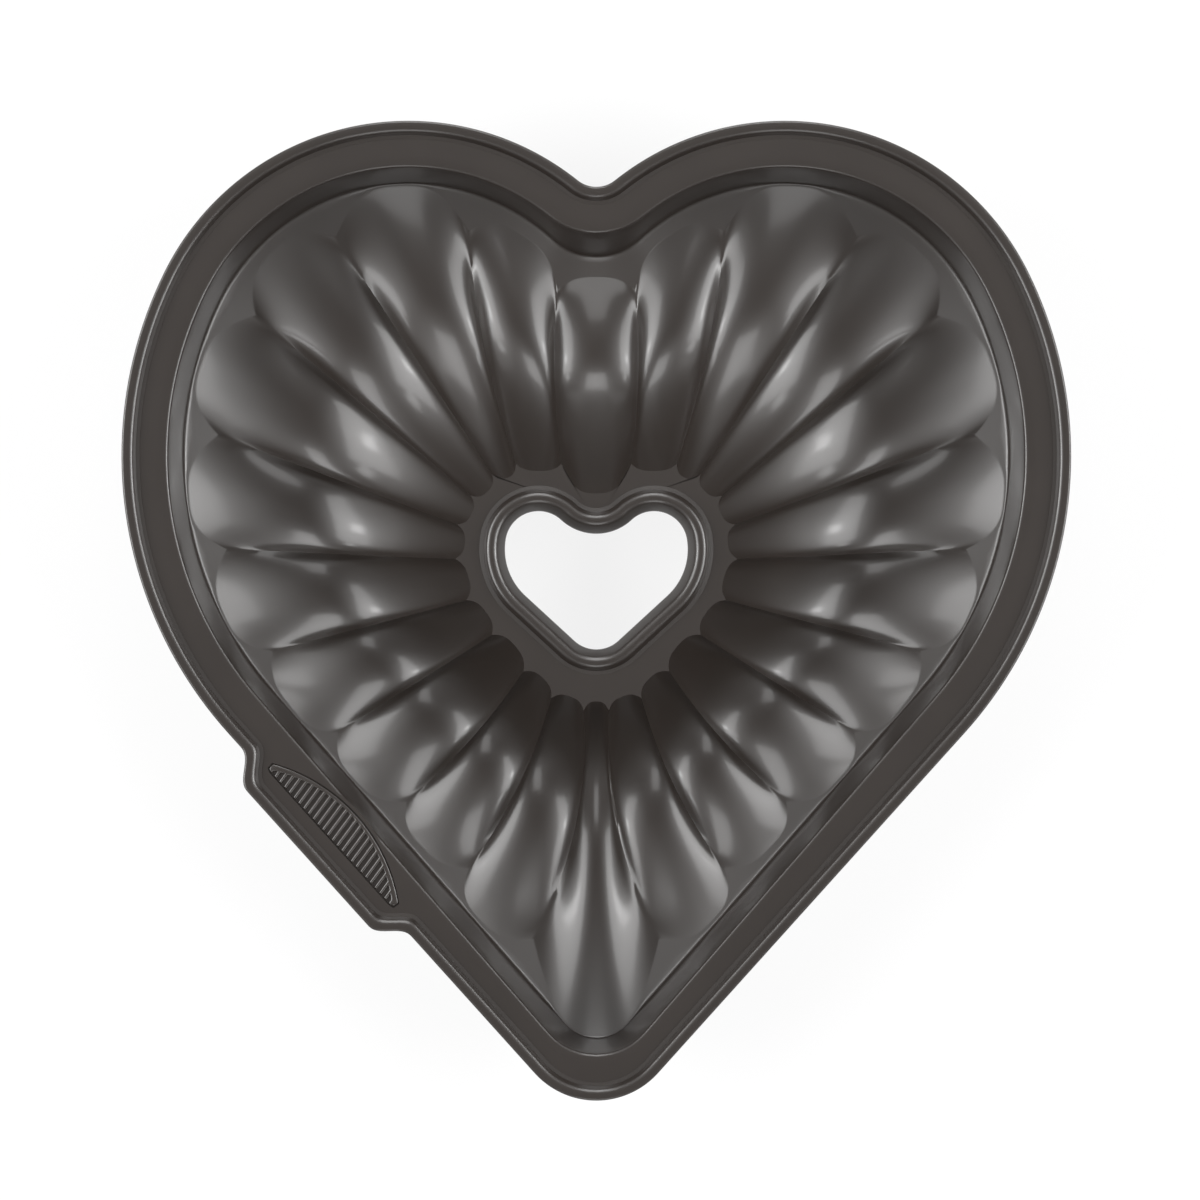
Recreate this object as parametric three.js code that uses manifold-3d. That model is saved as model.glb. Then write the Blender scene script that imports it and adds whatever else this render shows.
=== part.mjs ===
// Heart-shaped fluted cake pan in silicone, with wire-stiffened beads at its rim and at its chimney hole.
// Millimetres, +Z up. The pan stands on the undersides of its flutes at z = 0 with its opening upwards.
// The origin is under the middle of the outline, +Y runs from the tip of the heart to its cleft.
import * as THREE from 'three';
import { LoftGeometry } from 'three/addons/geometries/LoftGeometry.js';
import { mergeVertices } from 'three/addons/utils/BufferGeometryUtils.js';
import Module from 'manifold-3d';

// Outer heart: the edge of the rim
const panWidth = 240;
const panLength = 247.6;
const panHeight = 38;
const lobeRadius = 68.7;
const flankRadius = 104.75;
const flankSwell = 3.7;
const tipRadius = 21;
const cleftRadius = 7.5;

// Flange and the steep wall below it, as insets from the rim
const flangeWidth = 11.7;
const mouthTipRadius = 16;
const wallRun = 3;
const wallDrop = 25.6;
const wallTipRadius = 10.5;
const wallCleftRadius = 16;
const skirtSlope = 0.3;

// Silicone thicknesses
const flangeThickness = 2.5;
const wallThickness = 2.2;
const floorThickness = 1.8;
const standingTrim = 1.3;

// Chimney hole and the flat top round it
const holeWidth = 46.3;
const holeLength = 35;
const holeTop = 25.2;
const holeLobeRadius = 8.4;
const holeFlankRadius = 16;
const holeFlankSwell = 0.1;
const holeTipRadius = 8.2;
const holeCleftRadius = 13.2;
const chimneyDrop = 6;
const chimneyReach = 12.8;
const chimneyTongue = 3;

// Flutes: the hub that bearings are taken from, the roundness of the troughs and the thin seams on the ridges
const hubY = 15.3;
const fluteRoundness = 2.2;
const seamShare = 0.45;
const seamSharpness = 12;
const outerBowl = 1.9;
const outerRidgeBowl = 1.6;
const fluteEndRoundness = 3;
const fluteEndSharpness = 1.6;
const scallopDepth = 2.6;
const scallopSharpness = 5;
const chimneyLean = 0.7;

// Each ridge of the right half, from the cleft to the tip: bearing and inset of its outer end on the wall,
// bearing of its inner end on the chimney top, how far it bows clockwise, the share of its run where it is
// lowest, how hollow it runs down to there, and how high it stands above the trough
const ridges = [
  { outer: 4.5, inset: 10.4, inner: 22, bow: 1.3, lowest: 0.59, bowl: 2.1, rise: 5.5 },
  { outer: 18, inset: 9.8, inner: 43, bow: 1.9, lowest: 0.61, bowl: 2, rise: 5.5 },
  { outer: 38.5, inset: 9.6, inner: 54, bow: 0, lowest: 0.62, bowl: 1.9, rise: 5 },
  { outer: 56, inset: 10, inner: 66.5, bow: 0, lowest: 0.61, bowl: 1.85, rise: 5 },
  { outer: 74, inset: 8.8, inner: 79.5, bow: 0, lowest: 0.595, bowl: 1.85, rise: 5 },
  { outer: 91, inset: 7.7, inner: 93.5, bow: 0, lowest: 0.58, bowl: 1.85, rise: 5 },
  { outer: 108.5, inset: 6.5, inner: 111, bow: 0, lowest: 0.565, bowl: 1.9, rise: 4.8 },
  { outer: 125.5, inset: 5.7, inner: 129, bow: 0, lowest: 0.55, bowl: 2, rise: 4.5 },
  { outer: 142, inset: 7.1, inner: 149, bow: 1.5, lowest: 0.54, bowl: 2.2, rise: 4.5 },
  { outer: 156, inset: 7.9, inner: 163, bow: 2.2, lowest: 0.53, bowl: 2.3, rise: 4.5 },
  { outer: 168, inset: 8.4, inner: 175.5, bow: 4.2, lowest: 0.53, bowl: 2.3, rise: 4.5 },
];

// How close the rounded end of each flute comes to the wall, from the cleft's flute to the tip's
const fluteGaps = [5.5, 4.2, 0.8, 3.5, 1.2, 0.8, 0.8, 0.8, 0.8, 2.4, 1.2, 1];

// Beads, how far they grip the silicone edge, and the wires in them
const beadRise = 2.4;
const beadFlat = 2.4;
const beadSkin = 0.8;
const beadRound = 0.5;
const edgeGrip = 1.1;
const holeBeadSlope = 2.3;
const holeEdgeGrip = 2;
const wireDiameter = 1.6;
const sleeveWall = 0.3;
const sleeveLength = 12;
const wireEndGap = 0.6;
const fitGap = 0.3;
const sleeveGap = 0.1;

// Grip tab on the left straight side, with a pocket for its ribbed pad
const gripPlace = 13;
const pocketLength = 48;
const pocketDepth = 2;
const pocketFloor = 1.6;
const pocketRim = 0.8;
const pocketCorner = 2.2;
const pocketStrip = 2.8;
const pocketMouthStrip = 1.3;
const tabReach = 6.3;
const tabShoulder = 10;
const tabOverlap = 1.5;
const tabTaper = 0.45;
const padFloor = 0.6;
const padSink = 0.2;
const ribPitch = 1.8;
const ribWidth = 0.95;
const ribStandoff = 2.3;
const ribTilt = 11;

// How finely the surfaces are divided
const acrossSteps = [-1, -0.85, -0.45, 0, 0.45, 0.85];
const insideShares = [0, 0.12, 0.25, 0.38, 0.5, 0.61, 0.73, 0.86, 1];
const undersideShares = [0, 0.15, 0.3, 0.42, 0.53, 0.65, 0.81, 1];
const rimSteps = [3, 18, 10, 3, 5];
const tabSteps = 34;
const holeSteps = [5, 10, 4, 1, 4];
const wireSides = 6;
const sleeveSides = 12;
const gripArcSteps = 16;
const bearingHalvings = 40;
const wallSearchSteps = 600;
const wallSearchEnd = 1e-7;
const mergeDistance = 1e-4;
const smallestCleft = 0.5;
const tipPlace = 5;

// Heights that follow
const flangeTop = panHeight - beadRise;
const flangeBottom = flangeTop - flangeThickness;
const wallFoot = flangeTop - wallDrop;
const chimneyTop = flangeTop - chimneyDrop;
const chimneyBottom = chimneyTop - wallThickness;
const edgeMiddle = (flangeTop + flangeBottom) / 2;
const chimneyMiddle = (chimneyTop + chimneyBottom) / 2;

// Slots of the beads, the wires in them and the silicone edges behind the wires
const sleeveOuter = wireDiameter / 2 + sleeveGap + sleeveWall;
const rimSlot = Math.max(flangeThickness / 2, sleeveOuter) + fitGap;
const rimWireInset = beadSkin + sleeveGap + sleeveOuter;
const rimEdge = rimWireInset + sleeveOuter + sleeveGap;
const beadWidth = rimEdge + edgeGrip;
const holeSlot = Math.max(wallThickness, wireDiameter) / 2 + fitGap;
const holeWireInset = holeBeadSlope + fitGap + wireDiameter / 2;
const holeEdge = holeWireInset + wireDiameter / 2 + fitGap;
const holeBeadWidth = holeEdge + holeEdgeGrip;

// Pocket and tab in places along the side, and in insets from the rim line
const tabStart = gripPlace - tabShoulder + tabOverlap;
const tabEnd = gripPlace + pocketLength + tabShoulder - tabOverlap;
const pocketOuter = beadWidth - tabReach + pocketStrip;
const pocketInner = flangeWidth - pocketMouthStrip;

// How far the underside lies from the inner surface: at the mouth, at the wall's foot and on the skirt
const bandLean = wallRun / wallDrop;
const bandShift = wallThickness * Math.hypot(1, bandLean);
const mouthShift = bandShift - bandLean * flangeThickness;
const skirtDrop = wallThickness * Math.hypot(1, skirtSlope);
const footShift = (bandShift - bandLean * skirtDrop) / (1 - bandLean * skirtSlope);
const footDrop = skirtDrop - skirtSlope * footShift;
const skirtRun = wallThickness / Math.hypot(1, skirtSlope);

const silicone = new THREE.MeshStandardMaterial({ color: 0x3a3532, roughness: 0.42, metalness: 0 });
const steel = new THREE.MeshStandardMaterial({ color: 0xb4b6b8, roughness: 0.35, metalness: 1 });

const wasm = await Module();
wasm.setup();

const toRadians = THREE.MathUtils.degToRad;

const rimHeart = {
  halfWidth: panWidth / 2,
  top: panLength / 2,
  bottom: -panLength / 2,
  lobe: lobeRadius,
  flank: flankRadius,
  swell: flankSwell,
  tip: tipRadius,
  cleft: cleftRadius,
};

const holeHeart = {
  halfWidth: holeWidth / 2,
  top: holeTop,
  bottom: holeTop - holeLength,
  lobe: holeLobeRadius,
  flank: holeFlankRadius,
  swell: holeFlankSwell,
  tip: holeTipRadius,
  cleft: holeCleftRadius,
};

// A heart drawn inside another by an inset, or outside it where the inset is negative
function insetHeart(heart, inset) {
  return {
    halfWidth: heart.halfWidth - inset,
    top: heart.top - inset,
    bottom: heart.bottom + inset,
    lobe: heart.lobe - inset,
    flank: heart.flank - inset,
    swell: heart.swell,
    tip: heart.tip - inset,
    cleft: Math.max(heart.cleft + inset, smallestCleft),
  };
}

// Right half of a heart as five tangent stretches: cleft arc, lobe arc, flank arc, straight side, tip arc.
// The answer gives the point and outward normal at a place from 0, the cleft, to 5, the tip.
function outline(heart) {
  const lobeX = heart.halfWidth - heart.lobe - heart.swell;
  const lobeY = heart.top - heart.lobe;
  const spread = heart.flank - heart.lobe;
  const shoulder = Math.acos(1 - heart.swell / spread);
  const flankX = lobeX - spread * Math.cos(shoulder);
  const flankY = lobeY - spread * Math.sin(shoulder);
  const cleftY = lobeY + Math.sqrt((heart.lobe + heart.cleft) ** 2 - lobeX ** 2);
  const tipY = heart.bottom + heart.tip;
  const rise = flankY - tipY;
  const side = Math.atan2(rise, flankX) - Math.acos((heart.tip - heart.flank) / Math.hypot(flankX, rise));
  const notch = Math.atan2(lobeY - cleftY, lobeX);
  const down = -Math.PI / 2;
  const arcs = {
    0: { x: 0, y: cleftY, radius: heart.cleft, from: down, to: notch, out: -1 },
    1: { x: lobeX, y: lobeY, radius: heart.lobe, from: notch + Math.PI, to: shoulder, out: 1 },
    2: { x: flankX, y: flankY, radius: heart.flank, from: shoulder, to: side, out: 1 },
    4: { x: 0, y: tipY, radius: heart.tip, from: side, to: down, out: 1 },
  };
  const onArc = (arc, share) => {
    const angle = arc.from + (arc.to - arc.from) * share;
    const direction = new THREE.Vector2(Math.cos(angle), Math.sin(angle));
    const point = direction.clone().multiplyScalar(arc.radius).add(new THREE.Vector2(arc.x, arc.y));
    return { point, normal: direction.multiplyScalar(arc.out) };
  };
  return (place) => {
    const stretch = Math.min(Math.floor(place), 4);
    const share = place - stretch;
    if (arcs[stretch]) {
      return onArc(arcs[stretch], share);
    }
    const start = onArc(arcs[2], 1);
    const end = onArc(arcs[4], 0);
    const point = start.point.clone().lerp(end.point, share);
    return { point, normal: start.normal, length: start.point.distanceTo(end.point) };
  };
}

// The same outline on either half: places below 0 lie on the left
function bothSides(curve) {
  return (place) => {
    const found = curve(Math.abs(place));
    const side = place < 0 ? -1 : 1;
    const mirror = new THREE.Vector2(side, 1);
    return {
      point: found.point.clone().multiply(mirror),
      normal: found.normal.clone().multiply(mirror),
      length: found.length,
    };
  };
}

// Place on an outline that lies at a bearing from the hub, in degrees clockwise from the cleft
function placeAtBearing(curve, bearing) {
  const turned = THREE.MathUtils.euclideanModulo(bearing + 180, 360) - 180;
  let low = 0;
  let high = tipPlace;
  for (let halving = 0; halving < bearingHalvings; halving += 1) {
    const middle = (low + high) / 2;
    const { point } = curve(middle);
    const reached = THREE.MathUtils.radToDeg(Math.atan2(point.x, point.y - hubY));
    if (reached < Math.abs(turned)) {
      low = middle;
    } else {
      high = middle;
    }
  }
  return turned < 0 ? -low : low;
}

// Solids for joining and cutting
function toSolid(geometry) {
  const bare = new THREE.BufferGeometry().copy(geometry);
  bare.deleteAttribute('normal');
  bare.deleteAttribute('uv');
  const merged = mergeVertices(bare, mergeDistance);
  const mesh = new wasm.Mesh({
    numProp: 3,
    vertProperties: new Float32Array(merged.attributes.position.array),
    triVerts: new Uint32Array(merged.index.array),
  });
  return new wasm.Manifold(mesh);
}

function toGeometry(solid) {
  const mesh = solid.getMesh();
  const geometry = new THREE.BufferGeometry();
  geometry.setAttribute('position', new THREE.BufferAttribute(mesh.vertProperties, 3));
  geometry.setIndex(new THREE.BufferAttribute(mesh.triVerts, 1));
  return geometry;
}

// A closed skin through rings that follow each other round a section
function ringSkin(rings) {
  return new LoftGeometry([...rings, rings[0]]);
}

const wallHeart = {
  ...insetHeart(rimHeart, flangeWidth + wallRun),
  tip: wallTipRadius,
  cleft: wallCleftRadius,
};
const mouthHeart = { ...insetHeart(rimHeart, flangeWidth), tip: mouthTipRadius };
const chimneyHeart = insetHeart(holeHeart, -chimneyReach);
chimneyHeart.bottom -= chimneyTongue;
const wallCurve = outline(wallHeart);
const mouthCurve = outline(mouthHeart);
const chimneyCurve = outline(chimneyHeart);
const wallOutline = bothSides(wallCurve);
const mouthOutline = bothSides(mouthCurve);
const chimneyOutline = bothSides(chimneyCurve);
const holeCurve = outline(holeHeart);

const fluteCount = ridges.length * 2;

// Ridge in the whole ring: the left half mirrors the right
function ridgeAt(index) {
  const turn = THREE.MathUtils.euclideanModulo(index, fluteCount);
  const lap = Math.floor(index / fluteCount) * 360;
  if (turn < ridges.length) {
    const ridge = ridges[turn];
    return { ...ridge, outer: ridge.outer + lap, inner: ridge.inner + lap };
  }
  const twin = ridges[fluteCount - 1 - turn];
  return { ...twin, outer: 360 - twin.outer + lap, inner: 360 - twin.inner + lap, bow: -twin.bow };
}

function fluteGap(index) {
  return fluteGaps[Math.min(index, fluteCount - index)];
}

// The pan's two skins: where each one lies against the flutes' own lines
const insideSkin = {
  thickness: 0,
  outward: 0,
  hubward: 0,
  drop: 0,
  top: chimneyTop,
  floor: floorThickness,
  crest: floorThickness,
  seam: seamShare,
  lowest: floorThickness,
};
const undersideSkin = {
  thickness: wallThickness,
  outward: skirtSlope * skirtRun,
  hubward: chimneyLean * wallThickness,
  drop: skirtRun,
  top: chimneyBottom,
  floor: -standingTrim,
  crest: floorThickness - wallThickness,
  seam: 0,
  lowest: 0,
};

function offsetPoint(found, distance) {
  return found.point.clone().addScaledVector(found.normal, distance);
}

// Line of one ridge in plan, from the chimney top at 0 to its outer end at 1
function ridgeLine(ridge, skin) {
  const innerEnd = offsetPoint(chimneyOutline(placeAtBearing(chimneyCurve, ridge.inner)), -skin.hubward);
  const outerFoot = wallOutline(placeAtBearing(wallCurve, ridge.outer));
  const outerEnd = offsetPoint(outerFoot, skin.outward - ridge.inset);
  const run = outerEnd.clone().sub(innerEnd);
  const clockwise = new THREE.Vector2(run.y, -run.x).normalize();
  return (share) => {
    const bowed = 4 * share * (1 - share) * ridge.bow;
    return innerEnd.clone().addScaledVector(run, share).addScaledVector(clockwise, bowed);
  };
}

// Height of the skirt at an inset from the wall's foot
function skirtHeight(inset) {
  return wallFoot - skirtSlope * inset;
}

// One flute of a skin, between its two ridges: across runs from -1 to 1, share from chimney to wall.
// It runs down from the chimney top to its lowest place and up to its outer end.
function flute(index, skin) {
  const before = ridgeAt(index - 1);
  const after = ridgeAt(index);
  const left = ridgeLine(before, skin);
  const right = ridgeLine(after, skin);
  const gap = fluteGap(index);
  const outerFoot = wallOutline(placeAtBearing(wallCurve, (before.outer + after.outer) / 2));
  const innerFoot = chimneyOutline(placeAtBearing(chimneyCurve, (before.inner + after.inner) / 2));
  const outerEnd = offsetPoint(outerFoot, skin.outward - gap);
  const innerEnd = offsetPoint(innerFoot, -skin.hubward - scallopDepth);
  const outerBulge = outerEnd.clone().sub(left(1).lerp(right(1), 0.5));
  const innerBulge = innerEnd.clone().sub(left(0).lerp(right(0), 0.5));
  const bulge = (across) => 1 - Math.abs(across) ** fluteEndRoundness;
  const plan = (across, share) => {
    const point = left(share).lerp(right(share), (across + 1) / 2);
    point.addScaledVector(outerBulge, bulge(across) * share ** fluteEndSharpness);
    return point.addScaledVector(innerBulge, bulge(across) * (1 - share) ** scallopSharpness);
  };
  const between = (across, name) => THREE.MathUtils.lerp(before[name], after[name], (across + 1) / 2);
  const run = (across, share, depth, inset) => {
    const turning = between(across, 'lowest');
    const lowest = THREE.MathUtils.lerp(skin.crest + between(across, 'rise'), skin.floor, depth);
    if (share < turning) {
      return lowest + (skin.top - lowest) * (1 - share / turning) ** between(across, 'bowl');
    }
    const end = skirtHeight(inset) - skin.drop;
    const bowl = THREE.MathUtils.lerp(outerRidgeBowl, outerBowl, depth);
    return lowest + (end - lowest) * ((share - turning) / (1 - turning)) ** bowl;
  };
  const height = (across, share, inset) => {
    const side = Math.abs(across);
    const bottom = run(across, share, 1, gap);
    const crest = run(across, share, 0, (before.inset + after.inset) / 2);
    const halfWidth = left(share).distanceTo(right(share)) / 2;
    const turn = (1 - seamShare) * fluteRoundness * side ** (fluteRoundness - 1);
    const steepness = Math.max(crest - bottom, 0) * turn / halfWidth;
    const thickening = skin.thickness * (Math.hypot(1, steepness) - 1);
    const raised = (1 - seamShare) * side ** fluteRoundness + skin.seam * side ** seamSharpness;
    const own = run(across, share, 1 - raised, inset);
    return Math.max(own - thickening, Math.min(own, bottom), skin.lowest);
  };
  return { plan, height };
}

// Place on an outline between two bearings, at a share of the way clockwise from the first to the second
function placeBetween(curve, first, second, share) {
  const start = placeAtBearing(curve, first);
  const end = placeAtBearing(curve, second);
  const pastTip = start >= 0 && end < 0;
  const place = THREE.MathUtils.lerp(start, pastTip ? end + 2 * tipPlace : end, share);
  return place > tipPlace ? place - 2 * tipPlace : place;
}

// Nearest place of the wall's foot to a point inside it, and how far it is
function nearestWall(point) {
  const distance = (place) => wallOutline(place).point.distanceTo(point);
  const spacing = 2 * tipPlace / wallSearchSteps;
  const steps = Array.from({ length: wallSearchSteps + 1 }, (unused, step) => step * spacing - tipPlace);
  let place = steps.reduce((best, step) => (distance(step) < distance(best) ? step : best));
  for (let stride = spacing / 2; stride > wallSearchEnd; stride /= 2) {
    const tries = [place - stride, place, place + stride].filter((value) => Math.abs(value) <= tipPlace);
    place = tries.reduce((best, value) => (distance(value) < distance(best) ? value : best));
  }
  return { place, inset: distance(place) };
}

// The stations round the pan: every flute has the same steps across it
function panStations() {
  const stations = [];
  for (let index = 0; index < fluteCount; index += 1) {
    const before = ridgeAt(index - 1);
    const after = ridgeAt(index);
    const inside = flute(index, insideSkin);
    const underside = flute(index, undersideSkin);
    for (const across of acrossSteps) {
      const wall = nearestWall(inside.plan(across, 1));
      const on = (skin) => (share) => {
        const point = skin.plan(across, share);
        return new THREE.Vector3(point.x, point.y, skin.height(across, share, wall.inset));
      };
      stations.push({
        inside: on(inside),
        underside: on(underside),
        wall: wall.place,
        hole: placeBetween(holeCurve, before.inner, after.inner, (across + 1) / 2),
      });
    }
  }
  return stations;
}

function level(found, distance, height) {
  const point = offsetPoint(found, distance);
  return new THREE.Vector3(point.x, point.y, height);
}

// Reach of the grip tab beyond the rim line, at a distance along the left straight side
function tabSwell(along, inset) {
  const start = tabStart + tabTaper * inset;
  const end = tabEnd - tabTaper * inset;
  const near = THREE.MathUtils.smootherstep(along, start, start + tabShoulder);
  const far = THREE.MathUtils.smootherstep(along, end - tabShoulder, end);
  return tabReach * (near - far);
}

// Point of the rim line with its tab, or of a line inset from it
function rimPoint(place, inset, height) {
  const found = bothSides(outline(insetHeart(rimHeart, inset)))(place);
  const onTabSide = place < -3 && place > -4;
  const swell = onTabSide ? tabSwell((-place - 3) * found.length, inset) : 0;
  return level(found, swell, height);
}

// Places of one half of an outline, from a count of steps on each of its five stretches
function halfPlaces(steps) {
  return steps.flatMap((count, stretch) => {
    return Array.from({ length: count }, (unused, step) => stretch + step / count);
  });
}

// Places of a whole outline, clockwise from the cleft: the left half has its own steps
function ringPlaces(rightSteps, leftSteps) {
  const left = halfPlaces(leftSteps).slice(1).reverse();
  return [...halfPlaces(rightSteps), tipPlace, ...left.map((place) => -place)];
}

const rimStations = ringPlaces(rimSteps, rimSteps.with(3, tabSteps));
const holeStations = ringPlaces(holeSteps, holeSteps);

function rimRing(inset, height) {
  return rimStations.map((place) => rimPoint(place, inset, height));
}

function holeRing(outset, height) {
  const curve = bothSides(outline(insetHeart(holeHeart, -outset)));
  return holeStations.map((place) => level(curve(place), 0, height));
}

// D-shaped region of the grip, drawn on the left straight side: along it and inwards from the rim line
function gripShape(margin, outerMargin) {
  const half = pocketLength / 2 - margin;
  const chord = pocketOuter + outerMargin;
  const crown = pocketInner - margin;
  const corner = Math.max(pocketCorner - margin, fitGap);
  const shoulder = chord + corner;
  const rise = crown - shoulder;
  const radius = (half ** 2 + rise ** 2) / (2 * rise);
  const sweep = Math.asin(half / radius);
  const shape = new THREE.Shape();
  shape.moveTo(-half + corner, chord);
  shape.lineTo(half - corner, chord);
  shape.quadraticCurveTo(half, chord, half, shoulder);
  shape.absarc(0, crown - radius, radius, Math.PI / 2 - sweep, Math.PI / 2 + sweep, false);
  shape.quadraticCurveTo(-half, chord, -half + corner, chord);
  return shape;
}

function gripPrism(margin, outerMargin, low, high) {
  const geometry = new THREE.ExtrudeGeometry(gripShape(margin, outerMargin), {
    depth: high - low,
    bevelEnabled: false,
    curveSegments: gripArcSteps,
  });
  return geometry.translate(0, 0, low);
}

// Frame of the grip: x along the side towards the tip, y inwards, z up
function gripFrame() {
  const { point, normal } = bothSides(outline(rimHeart))(-3);
  const inward = normal.clone().negate();
  const along = new THREE.Vector2(-normal.y, normal.x);
  const middle = point.clone().addScaledVector(along, gripPlace + pocketLength / 2);
  return new THREE.Matrix4().makeBasis(
    new THREE.Vector3(along.x, along.y, 0),
    new THREE.Vector3(inward.x, inward.y, 0),
    new THREE.Vector3(0, 0, 1),
  ).setPosition(middle.x, middle.y, 0);
}

const gripMatrix = gripFrame();

// Silicone moulding: fluted bowl, flange, tab and the boss under the pocket
function panBody() {
  const stations = panStations();
  const holeEdgeOutline = bothSides(outline(insetHeart(holeHeart, -holeEdge)));
  const stubInset = (flangeWidth + rimEdge) / 2;
  const lapInset = (flangeWidth + stubInset) / 2;
  const stubOutline = bothSides(outline(insetHeart(rimHeart, stubInset)));
  const lapOutline = bothSides(outline(insetHeart(rimHeart, lapInset)));
  const rings = [];
  const ring = (make) => rings.push(stations.map(make));
  ring((station) => level(holeEdgeOutline(station.hole), 0, chimneyTop));
  for (const share of insideShares) {
    ring((station) => station.inside(share));
  }
  ring((station) => level(wallOutline(station.wall), 0, wallFoot));
  ring((station) => level(mouthOutline(station.wall), 0, flangeTop));
  ring((station) => level(stubOutline(station.wall), 0, flangeTop));
  ring((station) => level(stubOutline(station.wall), 0, flangeBottom));
  ring((station) => level(mouthOutline(station.wall), mouthShift, flangeBottom));
  ring((station) => level(wallOutline(station.wall), footShift, wallFoot - footDrop));
  for (const share of undersideShares.toReversed()) {
    ring((station) => station.underside(share));
  }
  ring((station) => level(holeEdgeOutline(station.hole), 0, chimneyBottom));
  const bowl = toSolid(ringSkin(rings));
  const lapRing = (height) => rimStations.map((place) => level(lapOutline(place), 0, height));
  const flange = toSolid(ringSkin([
    lapRing(flangeTop),
    rimRing(rimEdge, flangeTop),
    rimRing(rimEdge, flangeBottom),
    lapRing(flangeBottom),
  ]));
  const pocketBottom = flangeTop - pocketDepth;
  const bossPrism = gripPrism(-pocketRim, -pocketRim, pocketBottom - pocketFloor, flangeTop);
  const pocketPrism = gripPrism(0, 0, pocketBottom, panHeight);
  const boss = toSolid(bossPrism.applyMatrix4(gripMatrix));
  const pocket = toSolid(pocketPrism.applyMatrix4(gripMatrix));
  return toGeometry(bowl.add(flange).add(boss).subtract(pocket));
}

// Silicone edging over the flange's edge
function rimBead() {
  const low = edgeMiddle - rimSlot;
  const high = edgeMiddle + rimSlot;
  const bottom = low - beadSkin;
  return ringSkin([
    rimRing(beadRound, bottom),
    rimRing(0, bottom + beadRound),
    rimRing(0, panHeight - beadRound),
    rimRing(beadRound, panHeight),
    rimRing(beadFlat, panHeight),
    rimRing((beadFlat + beadWidth) / 2, (panHeight + high) / 2 + beadRound),
    rimRing(beadWidth, high + beadRound),
    rimRing(beadWidth, high),
    rimRing(beadSkin, high),
    rimRing(beadSkin, low),
    rimRing(beadWidth, low),
    rimRing(beadWidth, bottom),
  ].reverse());
}

function circlePoint(step, radius) {
  const angle = (step / wireSides) * 2 * Math.PI;
  return { aside: radius * Math.cos(angle), up: radius * Math.sin(angle) };
}

// Place and share of the straight right side where the rim wire's two ends meet
const jointPlace = 3.5;

function jointLength() {
  return outline(insetHeart(rimHeart, rimWireInset))(jointPlace).length;
}

// Rim wire, open at its joint
function rimWire() {
  const endShare = wireEndGap / 2 / jointLength();
  const before = rimStations.filter((place) => place >= 0 && place < jointPlace - endShare);
  const after = rimStations.filter((place) => place < 0 || place > jointPlace + endShare);
  const route = [jointPlace + endShare, ...after, ...before, jointPlace - endShare];
  const sections = route.map((place) => Array.from({ length: wireSides }, (unused, step) => {
    const { aside, up } = circlePoint(step, wireDiameter / 2);
    return rimPoint(place, rimWireInset - aside, edgeMiddle + up);
  }));
  return new LoftGeometry(sections, { capStart: true, capEnd: true });
}

// Crimped sleeve over the joint of the rim wire
function rimWireSleeve() {
  const found = outline(insetHeart(rimHeart, rimWireInset))(jointPlace);
  const bore = wireDiameter / 2 + sleeveGap;
  const half = sleeveLength / 2;
  const profile = [[bore, -half], [sleeveOuter, -half], [sleeveOuter, half], [bore, half], [bore, -half]];
  const geometry = new THREE.LatheGeometry(profile.map(([x, y]) => new THREE.Vector2(x, y)), sleeveSides);
  geometry.rotateZ(Math.atan2(found.normal.y, found.normal.x));
  return geometry.translate(found.point.x, found.point.y, edgeMiddle);
}

// Silicone edging round the chimney hole
function holeBead() {
  const low = chimneyMiddle - holeSlot;
  const high = chimneyMiddle + holeSlot;
  const top = chimneyTop + beadRise;
  const bottom = low - beadSkin;
  const flatEnd = holeBeadSlope + beadFlat;
  return ringSkin([
    holeRing(beadRound, bottom),
    holeRing(0, bottom + beadRound),
    holeRing(0, chimneyMiddle),
    holeRing(holeBeadSlope / 2, top - beadRound),
    holeRing(holeBeadSlope, top),
    holeRing(flatEnd, top),
    holeRing((flatEnd + holeBeadWidth) / 2, (top + high) / 2 + beadRound),
    holeRing(holeBeadWidth, high + beadRound),
    holeRing(holeBeadWidth, high),
    holeRing(holeBeadSlope, high),
    holeRing(holeBeadSlope, low),
    holeRing(holeBeadWidth, low),
    holeRing(holeBeadWidth, bottom),
  ]);
}

// Welded hoop in the hole bead
function holeWire() {
  const rings = Array.from({ length: wireSides }, (unused, step) => {
    const { aside, up } = circlePoint(step, wireDiameter / 2);
    return holeRing(holeWireInset + aside, chimneyMiddle + up);
  });
  return ringSkin(rings.reverse());
}

// Ribbed pad in the tab's pocket: a plate with a comb of slanted grooves, open towards the rim
function gripPad() {
  const low = flangeTop - pocketDepth + fitGap;
  const high = flangeTop - padSink;
  const field = toSolid(gripPrism(ribStandoff, 0, low + padFloor, flangeTop));
  const count = Math.floor((pocketLength - 2 * ribStandoff) / ribPitch);
  const reach = 2 * (pocketInner - pocketOuter);
  let pad = toSolid(gripPrism(fitGap, fitGap, low, high));
  for (let groove = 0; groove < count; groove += 1) {
    const bar = new THREE.BoxGeometry(ribPitch - ribWidth, reach, pocketDepth);
    bar.translate(0, reach / 2 - pocketStrip, 0);
    bar.rotateZ(toRadians(ribTilt));
    bar.translate((groove - (count - 1) / 2) * ribPitch, pocketOuter, flangeTop);
    pad = pad.subtract(toSolid(bar).intersect(field));
  }
  return toGeometry(pad).applyMatrix4(gripMatrix);
}

const group = new THREE.Group();

function addPiece(name, geometry, material) {
  const mesh = new THREE.Mesh(geometry, material);
  mesh.name = name;
  group.add(mesh);
}

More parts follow.
